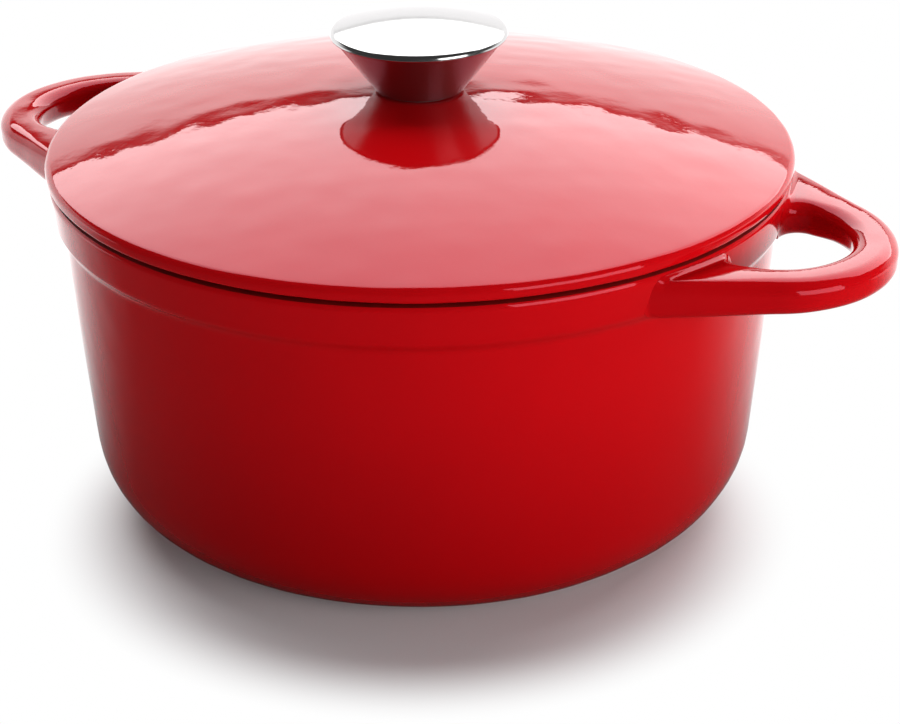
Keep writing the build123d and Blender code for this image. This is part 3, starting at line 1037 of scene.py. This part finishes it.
def add_surroundings(stage):
    """White for the camera; a backdrop low behind the pot and a dim room in reflections.

    Dull surfaces get low soft light from both sides and a little from all round.
    """
    world = bpy.data.worlds.new("studio")
    bpy.context.scene.world = world
    graph = Graph(world)
    direction = graph.node("ShaderNodeTexCoord", output="Generated")
    height = graph.node("ShaderNodeSeparateXYZ", None, {0: direction}, output="Z")

    def patch(turn, spread, bottom, top):
        """1 about a heading and near the horizon, fading to the sides and upwards."""
        sideways = graph.ease(graph.along(direction, heading(stage, turn)), *spread)
        return (1.0 - graph.ease(height, math.sin(bottom), math.sin(top))) * sideways

    backdrop = patch(0.0, BACKDROP_SPREAD, stage.backdrop_bottom, stage.backdrop_top)
    reflected = stage.room_light + (stage.backdrop_light - stage.room_light) * backdrop
    right = patch(stage.right_fill_turn, RIGHT_SPREAD, stage.fill_bottom, stage.fill_top)
    left = patch(stage.left_fill_turn, LEFT_SPREAD, stage.fill_bottom, stage.fill_top)
    fill = stage.even_light + stage.right_fill * right + stage.left_fill * left
    camera, mirrored = looked_at(graph)
    strength = camera + mirrored * reflected + (1.0 - camera - mirrored) * fill
    shader = graph.node("ShaderNodeBackground", None, {"Color": shade((1, 1, 1)), "Strength": strength})
    graph.node("ShaderNodeOutputWorld", None, {"Surface": shader})


def add_lamp(name, middle, facing, size, radiance, roll=0.0):
    """A flat lamp of an even radiance, facing a point and rolled about the line to it.

    Its power is pi times radiance times area.
    """
    lamp = bpy.data.lights.new(name, "AREA")
    lamp.shape = "RECTANGLE"
    lamp.size, lamp.size_y = size
    lamp.energy = math.pi * radiance * size[0] * size[1]
    holder = bpy.data.objects.new(name, lamp)
    turn = (Vector(facing) - Vector(middle)).to_track_quat("-Z", "Y").to_matrix().to_4x4()
    holder.matrix_world = Matrix.Translation(middle) @ turn @ Matrix.Rotation(roll, 4, "Z")
    bpy.context.scene.collection.objects.link(holder)


def add_lamps(stage):
    """A wide panel that leans over the pot from behind, and an upright one in front at the right."""
    aim = np.array(stage.lamp_aim)

    def lamp_place(turn, rise):
        """The point at the lamps' distance along a heading, raised above the horizon by an angle."""
        way = math.cos(rise) * heading(stage, turn) + math.sin(rise) * UP
        return aim + stage.lamp_distance * way

    aside = stage.ceiling_aside * heading(stage, math.pi / 2)
    above = lamp_place(0.0, stage.ceiling_rise)
    size = (stage.ceiling_width, stage.ceiling_depth)
    add_lamp("ceiling_panel", above + aside, aim + aside, size, stage.ceiling_light, stage.ceiling_roll)
    beside = lamp_place(stage.side_turn, stage.side_rise)
    add_lamp("side_panel", beside, aim, (stage.side_width, stage.side_height), stage.side_light)


# Operators

class DUTCHOVEN_OT_pot(bpy.types.Operator):
    """Adds the pot with its two handles, one casting."""

    bl_idname = "dutch_oven.pot"
    bl_label = "Pot"

    def execute(self, context):
        settings = context.scene.dutch_oven
        profile, stations = pot_profile(settings.pot)
        outside = (stations > FOOT_CORNER) & (stations <= RIM_OUTER)
        wall = (profile[outside, 1], profile[outside, 0])
        handle = handle_loop(settings.handles, wall, settings.pot.swell)
        opposite = Surface(handle.points * (-1, -1, 1), handle.faces, handle.finish)
        finishes = [make(settings.colours) for make in (red_enamel, cream_enamel, ground_coat_and_gap_shade)]
        casting = pot_body(settings.pot) + handle + opposite
        add_piece("enamelled_pot", casting, finishes, "pot", "pot_casting")
        return {"FINISHED"}


class DUTCHOVEN_OT_lid(bpy.types.Operator):
    """Adds the domed lid with its locating ring and basting nubs, one casting."""

    bl_idname = "dutch_oven.lid"
    bl_label = "Lid"

    def execute(self, context):
        settings = context.scene.dutch_oven
        casting = lid_body(settings.lid, settings.pot.height)
        for nub in basting_nubs(settings.lid):
            casting = casting + nub
        finishes = [bpy.data.materials[name] for name in ("glossy_red", "glossy_cream", "dull_ground_and_gap_shade")]
        add_piece("enamelled_lid", casting, finishes, "lid", "lid_casting")
        return {"FINISHED"}


class DUTCHOVEN_OT_knob(bpy.types.Operator):
    """Adds the knob's brushed cone and polished cap."""

    bl_idname = "dutch_oven.knob"
    bl_label = "Knob"

    def execute(self, context):
        settings = context.scene.dutch_oven
        cone = skirt_profile(settings.knob)
        cap = cap_profile(settings.knob)
        cone = turned(cone, np.zeros(len(cone)), KNOB_TURNS, loop=True)
        cap = turned(cap, np.zeros(len(cap) - 1), KNOB_TURNS)
        brushed = brushed_steel(settings.colours)
        polished = polished_steel(settings.colours)
        add_piece("knob_cone", cone, [brushed], "lid", "knob_skirt")
        add_piece("knob_dome", cap, [polished], "lid", "knob_cap")
        return {"FINISHED"}


class DUTCHOVEN_OT_fixings(bpy.types.Operator):
    """Gives the boss, the screw, its washers and the gasket their finishes."""

    bl_idname = "dutch_oven.fixings"
    bl_label = "Fixings"

    def execute(self, context):
        colours = context.scene.dutch_oven.colours
        steel = screw_steel(colours)
        rubber = gasket_rubber(colours)
        finishes = {
            "knob_boss": bpy.data.materials["brushed_cone"],
            "knob_screw": steel,
            "screw_washer": steel,
            "screw_lock_washer": steel,
            "knob_gasket": rubber,
        }
        for node, finish in finishes.items():
            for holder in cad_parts[node].material_slots:
                holder.material = finish
        return {"FINISHED"}


class DUTCHOVEN_OT_stage(bpy.types.Operator):
    """Adds the floor, the lamps, the surroundings and the camera."""

    bl_idname = "dutch_oven.stage"
    bl_label = "Stage"

    def execute(self, context):
        settings = context.scene.dutch_oven
        add_floor(settings.colours, settings.stage)
        add_surroundings(settings.stage)
        add_lamps(settings.stage)
        add_camera(settings.stage)
        context.scene.view_settings.view_transform = "Standard"
        return {"FINISHED"}


class DUTCHOVEN_PT_sidebar(bpy.types.Panel):
    """Lists the settings and the steps in the sidebar."""

    bl_idname = "DUTCHOVEN_PT_sidebar"
    bl_label = "Dutch Oven"
    bl_space_type = "VIEW_3D"
    bl_region_type = "UI"
    bl_category = "Dutch Oven"

    def draw(self, context):
        settings = context.scene.dutch_oven
        for step in ("pot", "lid", "knob", "fixings", "stage"):
            self.layout.operator(f"dutch_oven.{step}")
        for part in DutchOvenSettings.__annotations__:
            group = getattr(settings, part)
            box = self.layout.box()
            for name in group.__annotations__:
                box.prop(group, name)


classes = (
    PotSizes,
    HandleSizes,
    LidSizes,
    KnobSizes,
    FinishColours,
    StageSettings,
    DutchOvenSettings,
    DUTCHOVEN_OT_pot,
    DUTCHOVEN_OT_lid,
    DUTCHOVEN_OT_knob,
    DUTCHOVEN_OT_fixings,
    DUTCHOVEN_OT_stage,
    DUTCHOVEN_PT_sidebar,
)


def register():
    """Registers the classes and puts the settings on the scene."""
    for each in classes:
        bpy.utils.register_class(each)
    bpy.types.Scene.dutch_oven = PointerProperty(type=DutchOvenSettings)


def unregister():
    """Takes the settings off the scene and the classes out again."""
    del bpy.types.Scene.dutch_oven
    for each in reversed(classes):
        bpy.utils.unregister_class(each)


def main():
    register()
    bpy.ops.dutch_oven.pot()
    bpy.ops.dutch_oven.lid()
    bpy.ops.dutch_oven.knob()
    bpy.ops.dutch_oven.fixings()
    bpy.ops.dutch_oven.stage()


if __name__ == "__main__":
    main()
